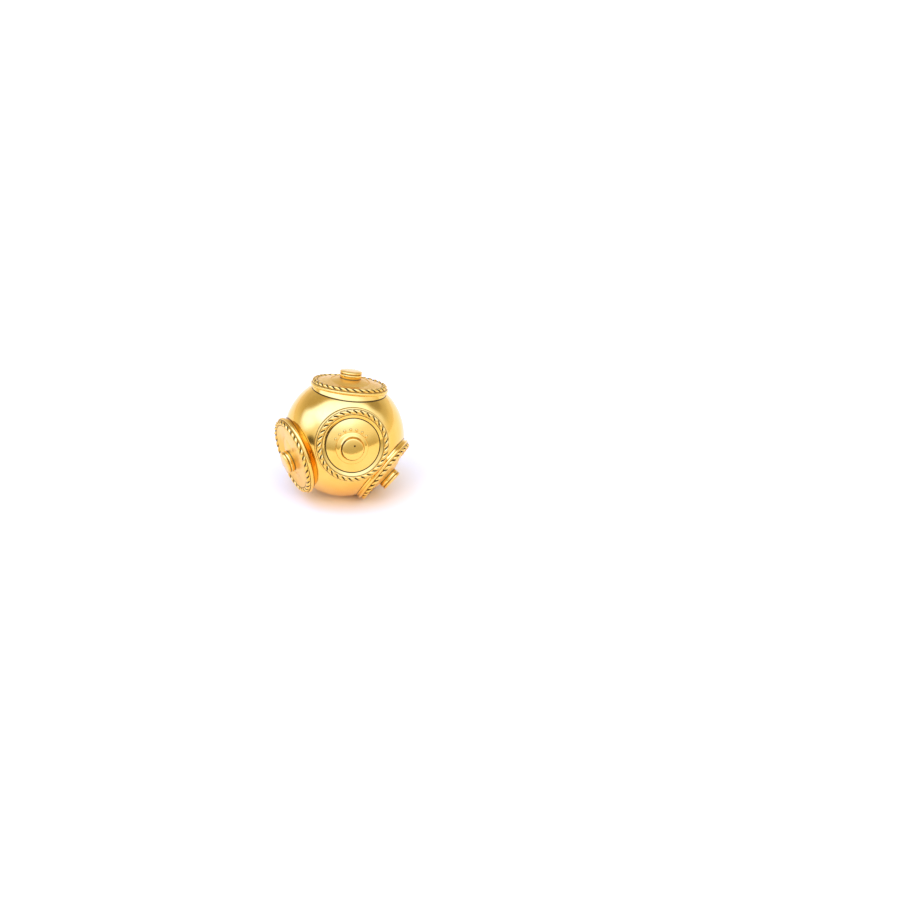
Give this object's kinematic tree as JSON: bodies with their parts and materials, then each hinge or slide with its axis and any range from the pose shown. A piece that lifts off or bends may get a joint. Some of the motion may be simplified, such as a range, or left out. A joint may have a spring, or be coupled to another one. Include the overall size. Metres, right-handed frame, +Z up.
{
  "type": "gold bead stud earring",
  "caption": "Stud earring with a hollow polished gold ball, round rope-edged ornaments with a button in the middle of each, and a plain post behind.",
  "frame": {"origin": "middle of the footprint, on the surface that the stud lies on", "axes": "+Z up, -Y the front with its ornament, +Y the way the post points, +X to the right of a viewer at the front"},
  "size_m": [0.0134, 0.023, 0.0126],
  "materials": {
    "polished_gold": "polished yellow gold",
    "post_gold": "plain drawn gold wire, lightly brushed"
  },
  "bodies": {
    "root": {"ball": "polished_gold", "front_ring": "polished_gold", "front_boss": "polished_gold", "top_ring": "polished_gold", "top_boss": "polished_gold", "right_ring": "polished_gold", "right_boss": "polished_gold", "left_ring": "polished_gold", "left_boss": "polished_gold", "ear_post": "post_gold"}
  },
  "joints": []
}
